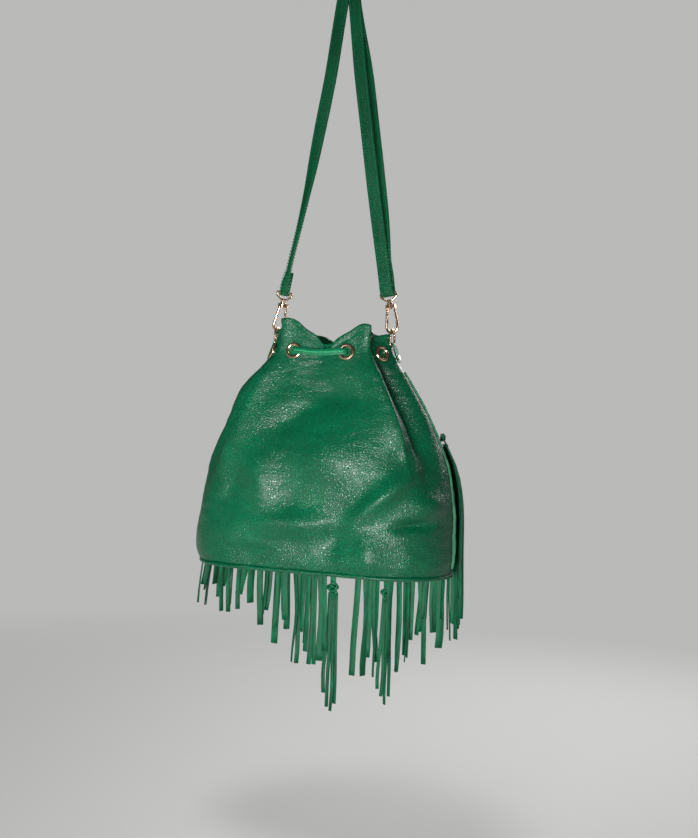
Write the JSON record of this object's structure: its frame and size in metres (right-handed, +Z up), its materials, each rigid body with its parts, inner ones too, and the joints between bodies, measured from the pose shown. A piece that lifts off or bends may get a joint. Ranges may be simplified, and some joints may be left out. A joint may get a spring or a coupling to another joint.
{
  "type": "bucket bag",
  "caption": "Gathered leather bucket bag with a drawcord mouth, knotted fringe across its front and a shoulder strap on swivel snap hooks.",
  "frame": {"origin": "centre of the base underside", "axes": "+Z up, +X to the wearer's right seen from the plain back, -Y out of the plain back, +Y out of the fringed front"},
  "size_m": [0.3044, 0.166, 0.9019],
  "materials": {
    "leather": "pebbled grain, semi-gloss, deep green",
    "cord": "smooth flat lace with a stitched middle line, green",
    "suede": "cut strips, soft matt flesh side and smooth face, green",
    "metal": "polished pale rose gold plate",
    "lining": "plain woven cotton, sand",
    "board": "pressed fibre board"
  },
  "bodies": {
    "strap": {"strap_band": "leather", "strap_rivet": "metal", "strap_ring_left": "metal", "strap_ring_right": "metal"},
    "slider": {"strap_slider": "metal"},
    "hook_left": {"hook_left": "metal", "gate_pin_left": "metal", "gate_spring_left": "metal"},
    "hook_right": {"hook_right": "metal", "gate_pin_right": "metal", "gate_spring_right": "metal"},
    "gate_left": {"gate_left": "metal"},
    "gate_right": {"gate_right": "metal"},
    "bag": {"back_panel": "leather", "front_panel": "leather", "top_facing": "leather", "lining": "lining", "base_panel": "leather", "base_board": "board", "base_welt": "leather", "side_welt_left": "leather", "side_welt_right": "leather", "eyelets": "metal", "eyelet_washers": "metal", "drawcord": "cord", "fringe_knots_left": "suede", "fringe_knots_right": "suede", "tab_left": "leather", "tab_right": "leather", "tab_rivet_left": "metal", "tab_rivet_right": "metal"},
    "d_ring_left": {"d_ring_left": "metal"},
    "d_ring_right": {"d_ring_right": "metal"},
    "cord_end_left": {"cord_end_left": "cord", "cord_knot_left": "cord", "cord_tassel_left": "suede"},
    "cord_end_right": {"cord_end_right": "cord", "cord_knot_right": "cord", "cord_tassel_right": "suede"},
    "fringe_left_side": {"fringe_left_side": "suede"},
    "fringe_left_front": {"fringe_left_front": "suede"},
    "fringe_left_centre": {"fringe_left_centre": "suede"},
    "fringe_right_centre": {"fringe_right_centre": "suede"},
    "fringe_right_front": {"fringe_right_front": "suede"},
    "fringe_right_side": {"fringe_right_side": "suede"}
  },
  "joints": [
    {"name": "bag_swing", "type": "hinge", "parent": "strap", "child": "bag", "pos_m": [0, 0, 0.2641], "axis": [1, 0, 0], "range_deg": [-20, 20], "stiffness_Nm_per_rad": 0.4},
    {"name": "hook_left_swivel", "type": "hinge", "parent": "strap", "child": "hook_left", "pos_m": [-0.06262, 0, 0.31146], "axis": [0.1564, 0, 0.9877], "range_deg": [-15, 15]},
    {"name": "gate_left_open", "type": "hinge", "parent": "hook_left", "child": "gate_left", "pos_m": [-0.06059, 0, 0.29615], "axis": [0, 1, 0], "range_deg": [0, 28], "stiffness_Nm_per_rad": 0.004},
    {"name": "d_ring_left_tip", "type": "hinge", "parent": "bag", "child": "d_ring_left", "pos_m": [-0.0695, 0, 0.2541], "axis": [0, 1, 0], "range_deg": [-2, 5]},
    {"name": "hook_right_swivel", "type": "hinge", "parent": "strap", "child": "hook_right", "pos_m": [0.06262, 0, 0.31146], "axis": [-0.1564, 0, 0.9877], "range_deg": [-15, 15]},
    {"name": "gate_right_open", "type": "hinge", "parent": "hook_right", "child": "gate_right", "pos_m": [0.06928, 0, 0.29753], "axis": [0, 1, 0], "range_deg": [0, 28], "stiffness_Nm_per_rad": 0.004},
    {"name": "d_ring_right_tip", "type": "hinge", "parent": "bag", "child": "d_ring_right", "pos_m": [0.0695, 0, 0.2541], "axis": [0, 1, 0], "range_deg": [-5, 2]},
    {"name": "slider_travel", "type": "slide", "parent": "strap", "child": "slider", "axis": [-0.1564, -0.0165, 0.9876], "range_m": [-0.28, 0], "stiffness_N_per_m": 20},
    {"name": "cord_end_left_swing", "type": "hinge", "parent": "bag", "child": "cord_end_left", "pos_m": [-0.031, 0.04555, 0.243], "axis": [1, 0, 0], "range_deg": [0, 40]},
    {"name": "cord_end_right_swing", "type": "hinge", "parent": "bag", "child": "cord_end_right", "pos_m": [0.031, 0.04555, 0.243], "axis": [1, 0, 0], "range_deg": [0, 40]},
    {"name": "fringe_left_side_swing", "type": "hinge", "parent": "bag", "child": "fringe_left_side", "pos_m": [-0.12409, 0.03344, 0.1438], "axis": [0.1845, 0.8118, -0.5541], "range_deg": [0, 20]},
    {"name": "fringe_left_front_swing", "type": "hinge", "parent": "bag", "child": "fringe_left_front", "pos_m": [-0.09456, 0.07084, 0.11086], "axis": [0.7734, 0.3429, -0.5332], "range_deg": [0, 20]},
    {"name": "fringe_left_centre_swing", "type": "hinge", "parent": "bag", "child": "fringe_left_centre", "pos_m": [-0.04805, 0.07773, 0.08116], "axis": [0.8501, 0.0231, -0.526], "range_deg": [0, 20]},
    {"name": "fringe_right_centre_swing", "type": "hinge", "parent": "bag", "child": "fringe_right_centre", "pos_m": [0.02693, 0.07821, 0.0682], "axis": [1, 0, 0], "range_deg": [0, 20]},
    {"name": "fringe_right_front_swing", "type": "hinge", "parent": "bag", "child": "fringe_right_front", "pos_m": [0.08513, 0.07202, 0.10492], "axis": [0.8146, -0.2242, 0.5349], "range_deg": [0, 20]},
    {"name": "fringe_right_side_swing", "type": "hinge", "parent": "bag", "child": "fringe_right_side", "pos_m": [0.12375, 0.03417, 0.14326], "axis": [0.1969, -0.8086, 0.5545], "range_deg": [0, 20]}
  ]
}
